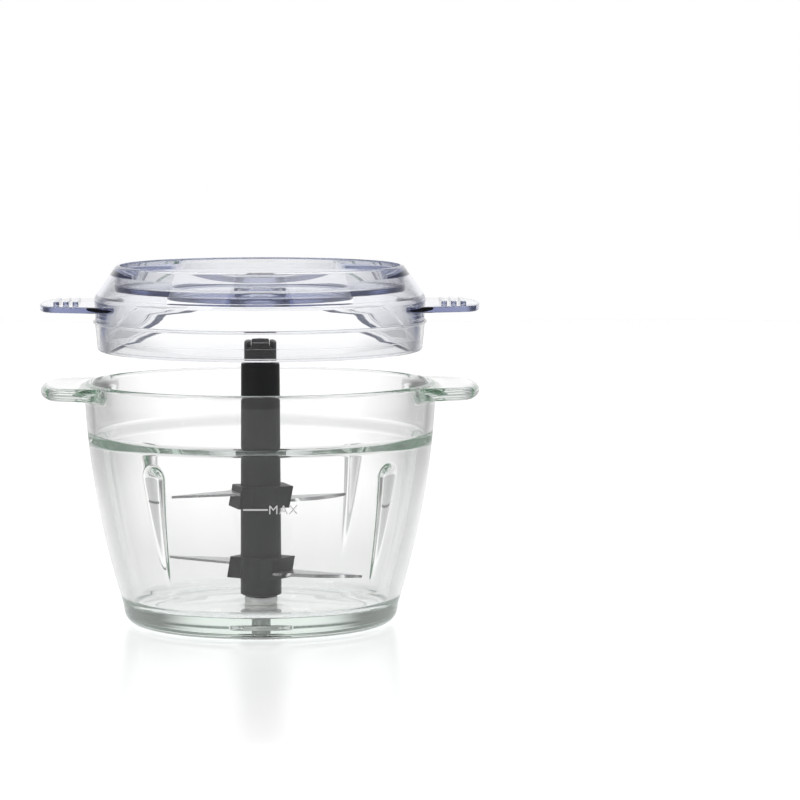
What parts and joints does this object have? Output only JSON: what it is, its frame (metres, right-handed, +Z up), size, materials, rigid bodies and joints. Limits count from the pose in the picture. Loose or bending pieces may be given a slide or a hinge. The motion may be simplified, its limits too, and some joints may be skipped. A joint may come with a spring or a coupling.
{
  "type": "electric mini chopper",
  "caption": "Clear glass chopper bowl with side ears, a turning black shaft with steel blades on a floor pin, and a clear lift-off lid with grip tabs and a motor recess.",
  "frame": {"origin": "middle of the bowl's base, on the surface that it stands on", "axes": "+Z up along the pivot pin, X through the two ears and the lid's tabs"},
  "size_m": [0.1848, 0.1484, 0.1514],
  "materials": {
    "bowl_glass": "clear pressed glass with a faint green edge",
    "lid_plastic": "clear glossy plastic with a faint blue tint",
    "seal_rubber": "clear, slightly hazy soft silicone",
    "shaft_plastic": "black moulded plastic, satin",
    "blade_steel": "brushed steel with a ground edge",
    "pin_steel": "turned steel",
    "sleeve_plastic": "white bearing plastic",
    "gasket": "milky soft rubber"
  },
  "bodies": {
    "bowl": {"glass_bowl": "bowl_glass", "pivot_pin": "pin_steel", "pin_gasket": "gasket", "under_gasket": "gasket", "pin_washer": "pin_steel", "pin_nut": "pin_steel"},
    "sleeve": {"pivot_sleeve": "sleeve_plastic"},
    "blade_set": {"blade_shaft": "shaft_plastic", "drive_socket": "pin_steel", "upper_carrier": "shaft_plastic", "upper_blade": "blade_steel", "lower_carrier": "shaft_plastic", "lower_blade": "blade_steel"},
    "lid": {"lid": "lid_plastic", "lid_seal": "seal_rubber"}
  },
  "joints": [
    {"name": "blade_lift", "type": "slide", "parent": "bowl", "child": "sleeve", "axis": [0, 0, 1], "range_m": [0, 0.11]},
    {"name": "blade_spin", "type": "hinge", "parent": "sleeve", "child": "blade_set", "pos_m": [0, 0, 0.03], "axis": [0, 0, 1], "continuous": true},
    {"name": "lid_lift", "type": "slide", "parent": "sleeve", "child": "lid", "axis": [0, 0, 1], "range_m": [-0.0306, 0.1]}
  ]
}
